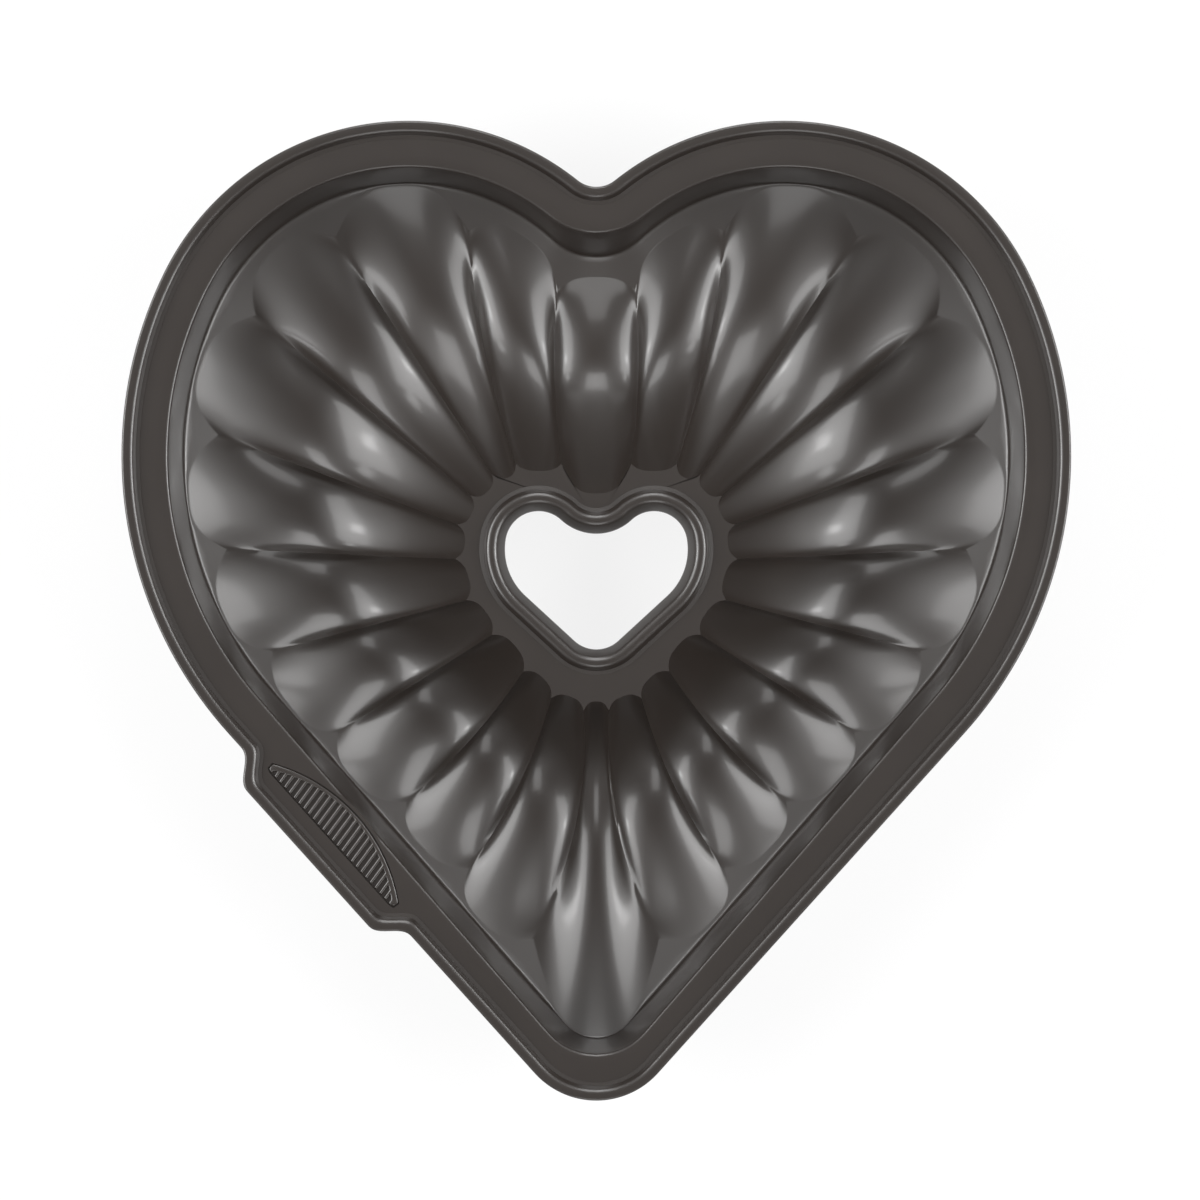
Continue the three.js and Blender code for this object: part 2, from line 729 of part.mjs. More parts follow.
addPiece('pan_body', panBody(), silicone);
addPiece('rim_bead', rimBead(), silicone);
addPiece('rim_wire', rimWire(), steel);
addPiece('rim_wire_sleeve', rimWireSleeve(), steel);
addPiece('hole_bead', holeBead(), silicone);
addPiece('hole_wire', holeWire(), steel);
addPiece('grip_pad', gripPad(), silicone);

export default group;
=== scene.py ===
import math

import bmesh
import bpy
from mathutils import Matrix, Vector


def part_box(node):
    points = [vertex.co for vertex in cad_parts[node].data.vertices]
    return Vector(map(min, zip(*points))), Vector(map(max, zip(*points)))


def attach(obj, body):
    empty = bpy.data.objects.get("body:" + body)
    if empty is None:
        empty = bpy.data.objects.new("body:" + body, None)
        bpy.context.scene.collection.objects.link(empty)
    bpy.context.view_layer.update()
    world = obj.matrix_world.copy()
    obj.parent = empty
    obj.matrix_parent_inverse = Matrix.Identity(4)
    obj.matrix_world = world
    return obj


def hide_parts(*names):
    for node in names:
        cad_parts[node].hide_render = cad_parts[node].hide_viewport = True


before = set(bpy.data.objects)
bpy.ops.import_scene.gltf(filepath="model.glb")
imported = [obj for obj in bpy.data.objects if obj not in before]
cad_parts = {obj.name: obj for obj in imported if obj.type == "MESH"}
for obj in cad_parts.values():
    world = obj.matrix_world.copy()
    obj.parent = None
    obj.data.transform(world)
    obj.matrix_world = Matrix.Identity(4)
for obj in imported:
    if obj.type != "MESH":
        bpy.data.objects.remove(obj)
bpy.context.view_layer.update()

scene = bpy.context.scene
mm = 0.001  # sizes are in millimetres and become metres when a vertex is placed; the studio's are in metres
rimLow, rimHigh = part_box("rim_bead")
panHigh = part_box("pan_body")[1]

# Heart outlines: place 0 is the cleft, 5 the tip, and places below 0 lie on the left half
tipPlace = 5
sideStretch = 3
smallestCleft = 0.5
rimHeart = {
    "halfWidth": rimHigh.x / mm, "top": rimHigh.y / mm, "bottom": rimLow.y / mm,
    "lobe": 68.7, "flank": 104.75, "swell": 3.7, "tip": 21, "cleft": 7.5,
}
holeHeart = {
    "halfWidth": 23.15, "top": 25.2, "bottom": -9.8,
    "lobe": 8.4, "flank": 16, "swell": 0.1, "tip": 8.2, "cleft": 13.2,
}


def mix(first, second, share):
    return first + (second - first) * share


def insetHeart(heart, inset, **changes):
    smaller = {name: heart[name] - inset for name in ("halfWidth", "top", "lobe", "flank", "tip")}
    smaller["bottom"] = heart["bottom"] + inset
    smaller["cleft"] = max(heart["cleft"] + inset, smallestCleft)
    smaller["swell"] = heart["swell"]
    return {**smaller, **changes}


# Five tangent stretches: cleft arc, lobe arc, flank arc, straight side and tip arc
def outline(heart):
    lobeX = heart["halfWidth"] - heart["lobe"] - heart["swell"]
    lobeY = heart["top"] - heart["lobe"]
    spread = heart["flank"] - heart["lobe"]
    shoulder = math.acos(1 - heart["swell"] / spread)
    flankX = lobeX - spread * math.cos(shoulder)
    flankY = lobeY - spread * math.sin(shoulder)
    cleftY = lobeY + math.sqrt((heart["lobe"] + heart["cleft"]) ** 2 - lobeX ** 2)
    tipY = heart["bottom"] + heart["tip"]
    rise = flankY - tipY
    side = math.atan2(rise, flankX) - math.acos((heart["tip"] - heart["flank"]) / math.hypot(flankX, rise))
    notch = math.atan2(lobeY - cleftY, lobeX)
    down = -math.pi / 2
    arcs = {
        0: (0, cleftY, heart["cleft"], down, notch, -1),
        1: (lobeX, lobeY, heart["lobe"], notch + math.pi, shoulder, 1),
        2: (flankX, flankY, heart["flank"], shoulder, side, 1),
        4: (0, tipY, heart["tip"], side, down, 1),
    }

    def onArc(stretch, share):
        x, y, radius, start, end, out = arcs[stretch]
        angle = mix(start, end, share)
        direction = Vector((math.cos(angle), math.sin(angle)))
        return Vector((x, y)) + direction * radius, direction * out

    sideStart, sideNormal = onArc(2, 1)
    sideEnd = onArc(4, 0)[0]

    def at(place):
        stretch = min(int(abs(place)), tipPlace - 1)
        share = abs(place) - stretch
        if stretch == sideStretch:
            point, normal = sideStart.lerp(sideEnd, share), sideNormal.copy()
        else:
            point, normal = onArc(stretch, share)
        if place < 0:
            point.x, normal.x = -point.x, -normal.x
        return point, normal

    at.sideLength = (sideEnd - sideStart).length
    return at


# Flutes: round troughs with a thin seam on each ridge. The lists run over the ridges of the right half from
# cleft to tip; outer and inner are bearings from the hub in degrees. The list of gaps runs over the flutes,
# and says how far each one stops short of the wall
ridgeNames = ("outer", "inset", "inner", "bow", "lowest", "bowl", "rise")
flutes = {
    "hubY": 15.3, "roundness": 2.2, "seam": 0.45, "seamSharpness": 12, "crestRound": 0.2, "lean": 0.7,
    "outerBowl": 1.7, "outerRidge": 1.3, "endSharpness": 1.6, "endRoundness": 3,
    "scallop": 2.6, "scallopSharpness": 5,
    "outer": [4.5, 18, 38.5, 56, 74, 91, 108.5, 125.5, 142, 156, 168],
    "inset": [10.4, 9.8, 9.6, 10, 8.8, 7.7, 6.5, 5.7, 7.1, 7.9, 8.4],
    "inner": [22, 43, 54, 66.5, 79.5, 93.5, 111, 129, 149, 163, 175.5],
    "bow": [1.3, 1.9, 0, 0, 0, 0, 0, 0, 1.5, 2.2, 4.2],
    "lowest": [0.59, 0.61, 0.62, 0.61, 0.595, 0.58, 0.565, 0.55, 0.54, 0.53, 0.53],
    "bowl": [2.1, 2, 1.9, 1.85, 1.85, 1.85, 1.9, 2, 2.2, 2.3, 2.3],
    "rise": [5.5, 5.5, 5, 5, 5, 5, 4.8, 4.5, 4.5, 4.5, 4.5],
    "gap": [5.5, 4.2, 0.8, 3.5, 1.2, 0.8, 0.8, 0.8, 0.8, 2.4, 1.2, 1],
}
pan = {
    "flangeWidth": 11.7, "wallRun": 3, "wallDrop": 25.6, "skirtSlope": 0.3,
    "mouthTip": 16, "wallTip": 10.5, "wallCleft": 16,
    "flangeThickness": 2.5, "wallThickness": 2.2, "floorThickness": 1.8, "standingTrim": 1.3,
    "chimneyDrop": 6, "chimneyReach": 12.8, "chimneyTongue": 3,
    "rimEdge": 3.4, "holeEdge": 4.5, "footRound": 0.9, "mouthRound": 0.9, "heelRound": 2.5,
    "columns": 30, "insideRows": 46, "undersideRows": 26, "easing": 0.75, "gathering": 0.5, "sharpAngle": 38,
}
flangeTop = panHigh.z / mm
flangeBottom = flangeTop - pan["flangeThickness"]
wallFoot = flangeTop - pan["wallDrop"]
chimneyTop = flangeTop - pan["chimneyDrop"]
chimneyBottom = chimneyTop - pan["wallThickness"]

wallInset = pan["flangeWidth"] + pan["wallRun"]
wallAt = outline(insetHeart(rimHeart, wallInset, tip=pan["wallTip"], cleft=pan["wallCleft"]))
mouthAt = outline(insetHeart(rimHeart, pan["flangeWidth"], tip=pan["mouthTip"]))
chimneyHeart = insetHeart(holeHeart, -pan["chimneyReach"])
chimneyHeart["bottom"] -= pan["chimneyTongue"]
chimneyAt = outline(chimneyHeart)
holeAt = outline(holeHeart)
holeEdgeAt = outline(insetHeart(holeHeart, -pan["holeEdge"]))

# How far the underside lies from the inner surface at the mouth, at the wall's foot and on the skirt
bandLean = pan["wallRun"] / pan["wallDrop"]
bandShift = pan["wallThickness"] * math.hypot(1, bandLean)
mouthShift = bandShift - bandLean * pan["flangeThickness"]
skirtDrop = pan["wallThickness"] * math.hypot(1, pan["skirtSlope"])
footShift = (bandShift - bandLean * skirtDrop) / (1 - bandLean * pan["skirtSlope"])
footDrop = skirtDrop - pan["skirtSlope"] * footShift
skirtRun = pan["wallThickness"] / math.hypot(1, pan["skirtSlope"])

# The pan's two skins: where each one lies against the flutes' own lines
insideSkin = {
    "thickness": 0, "outward": 0, "hubward": 0, "drop": 0, "top": chimneyTop, "seam": flutes["seam"],
    "floor": pan["floorThickness"], "crest": pan["floorThickness"], "lowest": pan["floorThickness"],
}
undersideSkin = {
    "thickness": pan["wallThickness"], "outward": pan["skirtSlope"] * skirtRun,
    "hubward": flutes["lean"] * pan["wallThickness"], "drop": skirtRun, "top": chimneyBottom, "seam": 0,
    "floor": -pan["standingTrim"], "crest": pan["floorThickness"] - pan["wallThickness"], "lowest": 0,
}
fluteCount = 2 * len(flutes["outer"])
bearingHalvings = 40
wallSteps = 1600
wallSearchEnd = 1e-7


def placeAtBearing(at, bearing):
    turned = (bearing + 180) % 360 - 180
    low, high = 0, tipPlace
    for halving in range(bearingHalvings):
        middle = (low + high) / 2
        point = at(middle)[0]
        if math.degrees(math.atan2(point.x, point.y - flutes["hubY"])) < abs(turned):
            low = middle
        else:
            high = middle
    return -low if turned < 0 else low


def placeBetween(at, first, second, share):
    start, end = placeAtBearing(at, first), placeAtBearing(at, second)
    if start >= 0 and end < 0:
        end += 2 * tipPlace
    place = mix(start, end, share)
    return place - 2 * tipPlace if place > tipPlace else place


wallPlaces = [step * 2 * tipPlace / wallSteps - tipPlace for step in range(wallSteps + 1)]
wallPoints = [(place, wallAt(place)[0]) for place in wallPlaces]


def nearestWall(point):
    place = min(wallPoints, key=lambda found: (found[1] - point).length_squared)[0]
    stride = tipPlace / wallSteps
    while stride > wallSearchEnd:
        tries = [step for step in (place - stride, place, place + stride) if abs(step) <= tipPlace]
        place = min(tries, key=lambda step: (wallAt(step)[0] - point).length_squared)
        stride /= 2
    return place, (wallAt(place)[0] - point).length


# The left half mirrors the right
def ridgeAt(index):
    turn, lap = index % fluteCount, index // fluteCount * 360
    twin = min(turn, fluteCount - 1 - turn)
    ridge = {name: flutes[name][twin] for name in ridgeNames}
    if turn != twin:
        ridge.update(outer=360 - ridge["outer"], inner=360 - ridge["inner"], bow=-ridge["bow"])
    ridge["outer"] += lap
    ridge["inner"] += lap
    return ridge


def offsetPoint(at, place, distance):
    point, normal = at(place)
    return point + normal * distance


def ridgeLine(ridge, skin):
    start = offsetPoint(chimneyAt, placeAtBearing(chimneyAt, ridge["inner"]), -skin["hubward"])
    end = offsetPoint(wallAt, placeAtBearing(wallAt, ridge["outer"]), skin["outward"] - ridge["inset"])
    run = end - start
    clockwise = Vector((run.y, -run.x)).normalized()
    return lambda share: start + run * share + clockwise * (4 * share * (1 - share) * ridge["bow"])


# Down from the chimney top to the lowest place, then up to the outer end: ridges run straighter than troughs
def runHeight(share, turning, innerBowl, outerBowl, top, lowest, end):
    if share < turning:
        return lowest + (top - lowest) * (1 - share / turning) ** innerBowl
    return lowest + (end - lowest) * ((share - turning) / (1 - turning)) ** outerBowl


# One flute between two ridges: across runs from -1 to 1, share from the chimney to the wall
def flute(index, skin):
    before, after = ridgeAt(index - 1), ridgeAt(index)
    left, right = ridgeLine(before, skin), ridgeLine(after, skin)
    gap = flutes["gap"][min(index, fluteCount - index)]
    outerPlace = placeAtBearing(wallAt, (before["outer"] + after["outer"]) / 2)
    innerPlace = placeAtBearing(chimneyAt, (before["inner"] + after["inner"]) / 2)
    outerBulge = offsetPoint(wallAt, outerPlace, skin["outward"] - gap) - left(1).lerp(right(1), 0.5)
    scallopEnd = offsetPoint(chimneyAt, innerPlace, -skin["hubward"] - flutes["scallop"])
    innerBulge = scallopEnd - left(0).lerp(right(0), 0.5)
    power = flutes["roundness"]

    def plan(across, share):
        bulge = 1 - abs(across) ** flutes["endRoundness"]
        point = left(share).lerp(right(share), (across + 1) / 2)
        point += outerBulge * (bulge * share ** flutes["endSharpness"])
        return point + innerBulge * (bulge * (1 - share) ** flutes["scallopSharpness"])

    def run(across, share, depth, inset):
        side = (across + 1) / 2
        turning, bowl, rise = (mix(before[name], after[name], side) for name in ("lowest", "bowl", "rise"))
        lowest = mix(skin["crest"] + rise, skin["floor"], depth)
        end = wallFoot - pan["skirtSlope"] * inset - skin["drop"]
        outerBowl = mix(flutes["outerRidge"], flutes["outerBowl"], depth)
        return runHeight(share, turning, bowl, outerBowl, skin["top"], lowest, end)

    # The crest is rounded by keeping the flanks a little away from the ridge line
    def height(across, share, inset):
        half = (left(share) - right(share)).length / 2
        away = math.hypot((1 - abs(across)) * half, flutes["crestRound"])
        beside = max(1 - away / half, 0)
        bottom = run(across, share, 1, gap)
        crest = run(across, share, 0, (before["inset"] + after["inset"]) / 2)
        steepness = max(crest - bottom, 0) * (1 - flutes["seam"]) * power * beside ** (power - 1) / half
        thickening = skin["thickness"] * (math.hypot(1, steepness) - 1)
        raised = (1 - flutes["seam"]) * beside ** power + skin["seam"] * beside ** flutes["seamSharpness"]
        own = run(across, share, 1 - raised, inset)
        return max(own - thickening, min(own, bottom), skin["lowest"])

    def at(across, share, inset):
        return plan(across, share).to_3d() + Vector((0, 0, height(across, share, inset)))

    return at


# Grip tab on the left straight side: reach, shoulders and the D-shaped pocket in it
tab = {
    "place": 13, "length": 48, "reach": 6.3, "shoulder": 10, "overlap": 1.5, "taper": 0.45,
    "depth": 2, "floor": 1.6, "rim": 0.8, "corner": 2.2, "smallestCorner": 0.3, "outer": 1.0, "inner": 10.4,
    "arcSteps": 48, "bossSink": 0.05, "cutAbove": 3,
}


# From 0 to 1, level at both ends
def smoothStep(value, start, end):
    share = min(max((value - start) / (end - start), 0), 1)
    return share ** 3 * (share * (share * 6 - 15) + 10)


def rimPoint(place, inset, height):
    at = rimAt(inset)
    point, normal = at(place)
    if sideStretch < -place < sideStretch + 1:
        along = (-place - sideStretch) * at.sideLength
        start = tab["place"] - tab["shoulder"] + tab["overlap"] + tab["taper"] * inset
        end = tab["place"] + tab["length"] + tab["shoulder"] - tab["overlap"] - tab["taper"] * inset
        near = smoothStep(along, start, start + tab["shoulder"])
        far = smoothStep(along, end - tab["shoulder"], end)
        point = point + normal * (tab["reach"] * (near - far))
    return Vector((point.x, point.y, height))


rimOutlines = {}


def rimAt(inset):
    if inset not in rimOutlines:
        rimOutlines[inset] = outline(insetHeart(rimHeart, inset))
    return rimOutlines[inset]


# A corner of a path turned into a short curve, which takes up less than half of either side
curveReach = 0.45


def rounded(before, corner, after, radius, steps=4):
    start = corner + (before - corner).normalized() * min(radius, (before - corner).length * curveReach)
    end = corner + (after - corner).normalized() * min(radius, (after - corner).length * curveReach)
    shares = [step / steps for step in range(steps + 1)]
    return [start.lerp(corner, share).lerp(corner.lerp(end, share), share) for share in shares]


def level(at, place, distance, height):
    point = offsetPoint(at, place, distance)
    return Vector((point.x, point.y, height))


def between(start, end, shares):
    return [start.lerp(end, share) for share in shares]


def easedShares(rows):
    steps = [step / rows for step in range(rows + 1)]
    return [mix(step, (1 - math.cos(math.pi * step)) / 2, pan["easing"]) for step in steps]


# Shares at which the straight runs of the path are divided
runShares = {
    "ring": (0, 0.3, 0.6, 0.85, 0.97), "skirt": (0.05, 0.2, 0.4, 0.6, 0.8), "wall": (0.25, 0.5, 0.75),
    "flange": (0.3, 0.7, 1), "outerWall": (0.3, 0.6),
}


# One closed path over the pan's wall at a station: hole, flute, skirt, wall, flange and back underneath
def panPath(inside, underside, across, wallPlace, inset, holePlace):
    top = [inside(across, share, inset) for share in easedShares(pan["insideRows"])]
    under = [underside(across, share, inset) for share in easedShares(pan["undersideRows"])]
    holeTop = level(holeEdgeAt, holePlace, 0, chimneyTop)
    foot = level(wallAt, wallPlace, 0, wallFoot)
    mouth = level(mouthAt, wallPlace, 0, flangeTop)
    edge = rimPoint(wallPlace, pan["rimEdge"], flangeTop)
    footCurve = rounded(top[-1], foot, mouth, pan["footRound"])
    mouthCurve = rounded(foot, mouth, edge, pan["mouthRound"])
    path = between(holeTop, top[0], runShares["ring"]) + top
    path += between(top[-1], footCurve[0], runShares["skirt"]) + footCurve
    path += between(footCurve[-1], mouthCurve[0], runShares["wall"]) + mouthCurve
    path += between(mouthCurve[-1], edge, runShares["flange"])
    below = rimPoint(wallPlace, pan["rimEdge"], flangeBottom)
    mouthBelow = level(mouthAt, wallPlace, mouthShift, flangeBottom)
    footBelow = level(wallAt, wallPlace, footShift, wallFoot - footDrop)
    path += [below] + rounded(below, mouthBelow, footBelow, pan["mouthRound"])
    path += between(mouthBelow, footBelow, runShares["outerWall"])
    path += rounded(mouthBelow, footBelow, under[-1], pan["heelRound"])
    return path + under[::-1] + [level(holeEdgeAt, holePlace, 0, chimneyBottom)]


mergeDistance = 1e-7


# A skin through paths that close on themselves, one per station round the pan
def closedSkin(name, paths):
    rows, stations = len(paths[0]), len(paths)
    bm = bmesh.new()
    bmesh.ops.create_grid(bm, x_segments=stations, y_segments=rows, size=1)
    for index, vertex in enumerate(bm.verts):
        row, station = divmod(index, stations + 1)
        vertex.co = paths[station % stations][row % rows] * mm
    bmesh.ops.remove_doubles(bm, verts=bm.verts, dist=mergeDistance)
    return finishPiece(name, bm)


def finishPiece(name, bm):
    bmesh.ops.recalc_face_normals(bm, faces=bm.faces)
    mesh = bpy.data.meshes.new(name)
    bm.to_mesh(mesh)
    bm.free()
    piece = bpy.data.objects.new(name, mesh)
    scene.collection.objects.link(piece)
    return piece


def dressPiece(piece, node, sharpAngle):
    piece.data.shade_smooth()
    piece.data.set_sharp_from_angle(angle=math.radians(sharpAngle))
    piece.data.materials.clear()
    piece.data.materials.append(silicone)
    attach(piece, "root")
    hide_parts(node)


# The cut or join is worked into the mesh, and the tool is dropped
def combine(piece, tool, operation):
    modifier = piece.modifiers.new("combine", "BOOLEAN")
    modifier.operation = operation
    modifier.solver = "MANIFOLD"
    modifier.object = tool
    depsgraph = bpy.context.evaluated_depsgraph_get()
    worked = bpy.data.meshes.new_from_object(piece.evaluated_get(depsgraph))
    piece.modifiers.clear()
    piece.data = worked
    bpy.data.objects.remove(tool)


# Grip frame: x along the side towards the tip, y inwards, z up
sideStart, sideNormal = rimAt(0)(-sideStretch)
sideAlong = Vector((-sideNormal.y, sideNormal.x))
gripMiddle = sideStart + sideAlong * (tab["place"] + tab["length"] / 2)
gripMatrix = Matrix((
    (sideAlong.x, -sideNormal.x, 0, gripMiddle.x),
    (sideAlong.y, -sideNormal.y, 0, gripMiddle.y),
    (0, 0, 1, 0),
    (0, 0, 0, 1),
))


# D-shaped block on the side, with its chord towards the rim
def gripBlock(name, margin, outerMargin, low, high):
    half = tab["length"] / 2 - margin
    chord, crown = tab["outer"] + outerMargin, tab["inner"] - margin
    corner = max(tab["corner"] - margin, tab["smallestCorner"])
    rise = crown - chord - corner
    radius = (half ** 2 + rise ** 2) / (2 * rise)
    sweep = math.asin(half / radius)
    turns = [mix(sweep, -sweep, step / tab["arcSteps"]) for step in range(tab["arcSteps"] + 1)]
    arc = [Vector((radius * math.sin(turn), crown - radius + radius * math.cos(turn), low)) for turn in turns]
    leftCorner, rightCorner = Vector((-half, chord, low)), Vector((half, chord, low))
    path = rounded(leftCorner, rightCorner, arc[0], corner)[:-1] + arc
    path += rounded(arc[-1], leftCorner, rightCorner, corner)[1:]
    bm = bmesh.new()
    face = bm.faces.new([bm.verts.new(gripMatrix @ point * mm) for point in path])
    raised = bmesh.ops.extrude_face_region(bm, geom=[face])["geom"]
    lifted = [item for item in raised if isinstance(item, bmesh.types.BMVert)]
    bmesh.ops.translate(bm, verts=lifted, vec=(0, 0, (high - low) * mm))
    return finishPiece(name, bm)


# sRGB to linear
def colour(text):
    channels = [int(text[at:at + 2], 16) / 255 for at in (0, 2, 4)]
    linear = [c / 12.92 if c <= 0.04045 else ((c + 0.055) / 1.055) ** 2.4 for c in channels]
    return (*linear, 1)


def newMaterial(name):
    material = bpy.data.materials.new(name)
    material.use_nodes = True
    return material, material.node_tree, material.node_tree.nodes["Principled BSDF"]


def addNode(tree, kind, settings={}, **inputs):
    made = tree.nodes.new("ShaderNode" + kind)
    for name, value in settings.items():
        setattr(made, name, value)
    for name, value in inputs.items():
        feed(tree, made.inputs[name.replace("_", " ")], value)
    return made


def feed(tree, socket, value):
    if isinstance(value, bpy.types.NodeSocket):
        tree.links.new(value, socket)
    else:
        socket.default_value = value


# Moulded silicone: warm near-black, satin, faintly clouded, with a very fine grain that softens highlights
# and a glossier skin that gives the small bright spots
siliconeFinish = {
    "deep": "1f1915", "pale": "241d18", "cloud": 27.78, "cloudDetail": 3.0, "cloudRoughness": 0.6,
    "grain": 0.6667, "grainDetail": 2.0, "grainDepth": 0.04, "grainStrength": 0.12,
    "glossiest": 0.39, "dullest": 0.43, "ior": 1.5, "specular": 0.8, "skin": 0.45, "skinRoughness": 0.15,
}
silicone, tree, shader = newMaterial("mouldedSilicone")
place = addNode(tree, "TexCoord").outputs["Object"]
cloud = addNode(
    tree, "TexNoise", Vector=place, Scale=1 / (siliconeFinish["cloud"] * mm),
    Detail=siliconeFinish["cloudDetail"], Roughness=siliconeFinish["cloudRoughness"],
)
grain = addNode(
    tree, "TexNoise", Vector=place, Scale=1 / (siliconeFinish["grain"] * mm),
    Detail=siliconeFinish["grainDetail"],
)
tint = addNode(tree, "Mix", {"data_type": "RGBA"})
feed(tree, tint.inputs["Factor"], cloud.outputs["Fac"])
feed(tree, tint.inputs[6], colour(siliconeFinish["deep"]))
feed(tree, tint.inputs[7], colour(siliconeFinish["pale"]))
gloss = addNode(
    tree, "MapRange", Value=cloud.outputs["Fac"],
    To_Min=siliconeFinish["glossiest"], To_Max=siliconeFinish["dullest"],
)
bump = addNode(
    tree, "Bump", Height=grain.outputs["Fac"],
    Strength=siliconeFinish["grainStrength"], Distance=siliconeFinish["grainDepth"] * mm,
)
feed(tree, shader.inputs["Base Color"], tint.outputs[2])
feed(tree, shader.inputs["Roughness"], gloss.outputs["Result"])
feed(tree, shader.inputs["Normal"], bump.outputs["Normal"])
shader.inputs["IOR"].default_value = siliconeFinish["ior"]
shader.inputs["Specular IOR Level"].default_value = siliconeFinish["specular"]
shader.inputs["Coat Weight"].default_value = siliconeFinish["skin"]
shader.inputs["Coat Roughness"].default_value = siliconeFinish["skinRoughness"]

# Drawn steel wire: pale grey metal with fine streaks
steelFinish = {"tint": "b4b6b8", "streak": 1.111, "streakDetail": 2.0, "brightest": 0.25, "dullest": 0.42}
steel, tree, shader = newMaterial("drawnSteelWire")
place = addNode(tree, "TexCoord").outputs["Object"]
streaks = addNode(
    tree, "TexNoise", Vector=place, Scale=1 / (steelFinish["streak"] * mm),
    Detail=steelFinish["streakDetail"],
)
sheen = addNode(
    tree, "MapRange", Value=streaks.outputs["Fac"],
    To_Min=steelFinish["brightest"], To_Max=steelFinish["dullest"],
)
feed(tree, shader.inputs["Roughness"], sheen.outputs["Result"])
shader.inputs["Base Color"].default_value = colour(steelFinish["tint"])
shader.inputs["Metallic"].default_value = 1
for wire in ("rim_wire", "rim_wire_sleeve", "hole_wire"):
    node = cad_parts[wire]
    node.data.materials.clear()
    node.data.materials.append(steel)


def buildPanBody():
    paths = []
    for index in range(fluteCount):
        inside, underside = flute(index, insideSkin), flute(index, undersideSkin)
        before, after = ridgeAt(index - 1), ridgeAt(index)
        for column in range(pan["columns"]):
            step = 2 * column / pan["columns"] - 1
            across = mix(step, math.sin(step * math.pi / 2), pan["gathering"])
            end = inside(across, 1, 0).to_2d()
            wallPlace, inset = nearestWall(end)
            holePlace = placeBetween(holeAt, before["inner"], after["inner"], (across + 1) / 2)
            paths.append(panPath(inside, underside, across, wallPlace, inset, holePlace))
    piece = closedSkin("panBody", paths)
    pocketBottom = flangeTop - tab["depth"]
    bossTop = flangeTop - tab["bossSink"]
    boss = gripBlock("boss", -tab["rim"], -tab["rim"], pocketBottom - tab["floor"], bossTop)
    combine(piece, boss, "UNION")
    pocket = gripBlock("pocket", 0, 0, pocketBottom, flangeTop + tab["cutAbove"])
    combine(piece, pocket, "DIFFERENCE")
    dressPiece(piece, "pan_body", pan["sharpAngle"])


buildPanBody()
print("pan body done")

# Edging over the flange's edge: heights, insets from the rim line and corner radii
rimBead = {
    "top": flangeTop + 2.4, "lip": flangeTop + 0.32, "slotHigh": flangeTop + 0.06,
    "slotLow": flangeTop - 2.8, "bottom": flangeTop - 3.6,
    "skin": 0.8, "flat": 2.75, "foot": 3.55, "width": 4.5, "lipEdge": 0.1,
    "bottomRound": 0.5, "edgeRound": 0.6, "flatRound": 1.2, "heelRound": 0.4,
    "steps": [10, 90, 44, 40, 26], "tabSteps": 160, "sharpAngle": 38,
}
sectionSteps = 5


def halfPlaces(steps):
    return [stretch + step / count for stretch, count in enumerate(steps) for step in range(count)]


def ringPlaces(rightSteps, leftSteps):
    left = halfPlaces(leftSteps)[:0:-1]
    return halfPlaces(rightSteps) + [tipPlace] + [-place for place in left]


# Section of a bead from corners given as inset, height and radius
def section(corners):
    spots = [Vector((inset, height)) for inset, height, radius in corners]
    path = []
    for index, (inset, height, radius) in enumerate(corners):
        if radius:
            after = spots[(index + 1) % len(spots)]
            path += rounded(spots[index - 1], spots[index], after, radius, sectionSteps)
        else:
            path.append(spots[index])
    return path


# The lip and the slot that takes the pan's edge, which both beads have
def slotCorners(bead):
    return [
        (bead["foot"], bead["lip"], 0), (bead["width"], bead["slotHigh"] + bead["lipEdge"], 0),
        (bead["width"], bead["slotHigh"], 0), (bead["skin"], bead["slotHigh"], 0),
        (bead["skin"], bead["slotLow"], 0), (bead["width"], bead["slotLow"], 0),
        (bead["width"], bead["bottom"], bead["heelRound"]),
    ]


def buildRimBead():
    profile = section([
        (0, rimBead["bottom"], rimBead["bottomRound"]), (0, rimBead["top"], rimBead["edgeRound"]),
        (rimBead["flat"], rimBead["top"], rimBead["flatRound"]), *slotCorners(rimBead),
    ])
    tabSteps = list(rimBead["steps"])
    tabSteps[sideStretch] = rimBead["tabSteps"]
    places = ringPlaces(rimBead["steps"], tabSteps)
    paths = [[rimPoint(place, spot.x, spot.y) for spot in profile] for place in places]
    dressPiece(closedSkin("rimBead", paths), "rim_bead", rimBead["sharpAngle"])


buildRimBead()
print("rim bead done")

# Edging round the chimney hole: heights, outsets from the hole's line and corner radii
holeBead = {
    "top": chimneyTop + 2.4, "lip": chimneyTop + 0.35, "slotHigh": chimneyTop + 0.06,
    "slope": chimneyTop - 1.1, "slotLow": chimneyTop - 2.5, "bottom": chimneyTop - 3.3,
    "skin": 2.3, "flatEnd": 4.6, "foot": 5.5, "width": 6.5, "lipEdge": 0.1,
    "bottomRound": 0.5, "slopeRound": 0.4, "topRound": 1, "flatRound": 1.2, "heelRound": 0.4,
    "steps": [24, 40, 20, 10, 20], "sharpAngle": 38,
}


def buildHoleBead():
    profile = section([
        (0, holeBead["bottom"], holeBead["bottomRound"]), (0, holeBead["slope"], holeBead["slopeRound"]),
        (holeBead["skin"], holeBead["top"], holeBead["topRound"]),
        (holeBead["flatEnd"], holeBead["top"], holeBead["flatRound"]), *slotCorners(holeBead),
    ])
    outlines = [outline(insetHeart(holeHeart, -spot.x)) for spot in profile]
    places = ringPlaces(holeBead["steps"], holeBead["steps"])
    paths = [[level(at, place, 0, spot.y) for at, spot in zip(outlines, profile)] for place in places]
    dressPiece(closedSkin("holeBead", paths), "hole_bead", holeBead["sharpAngle"])


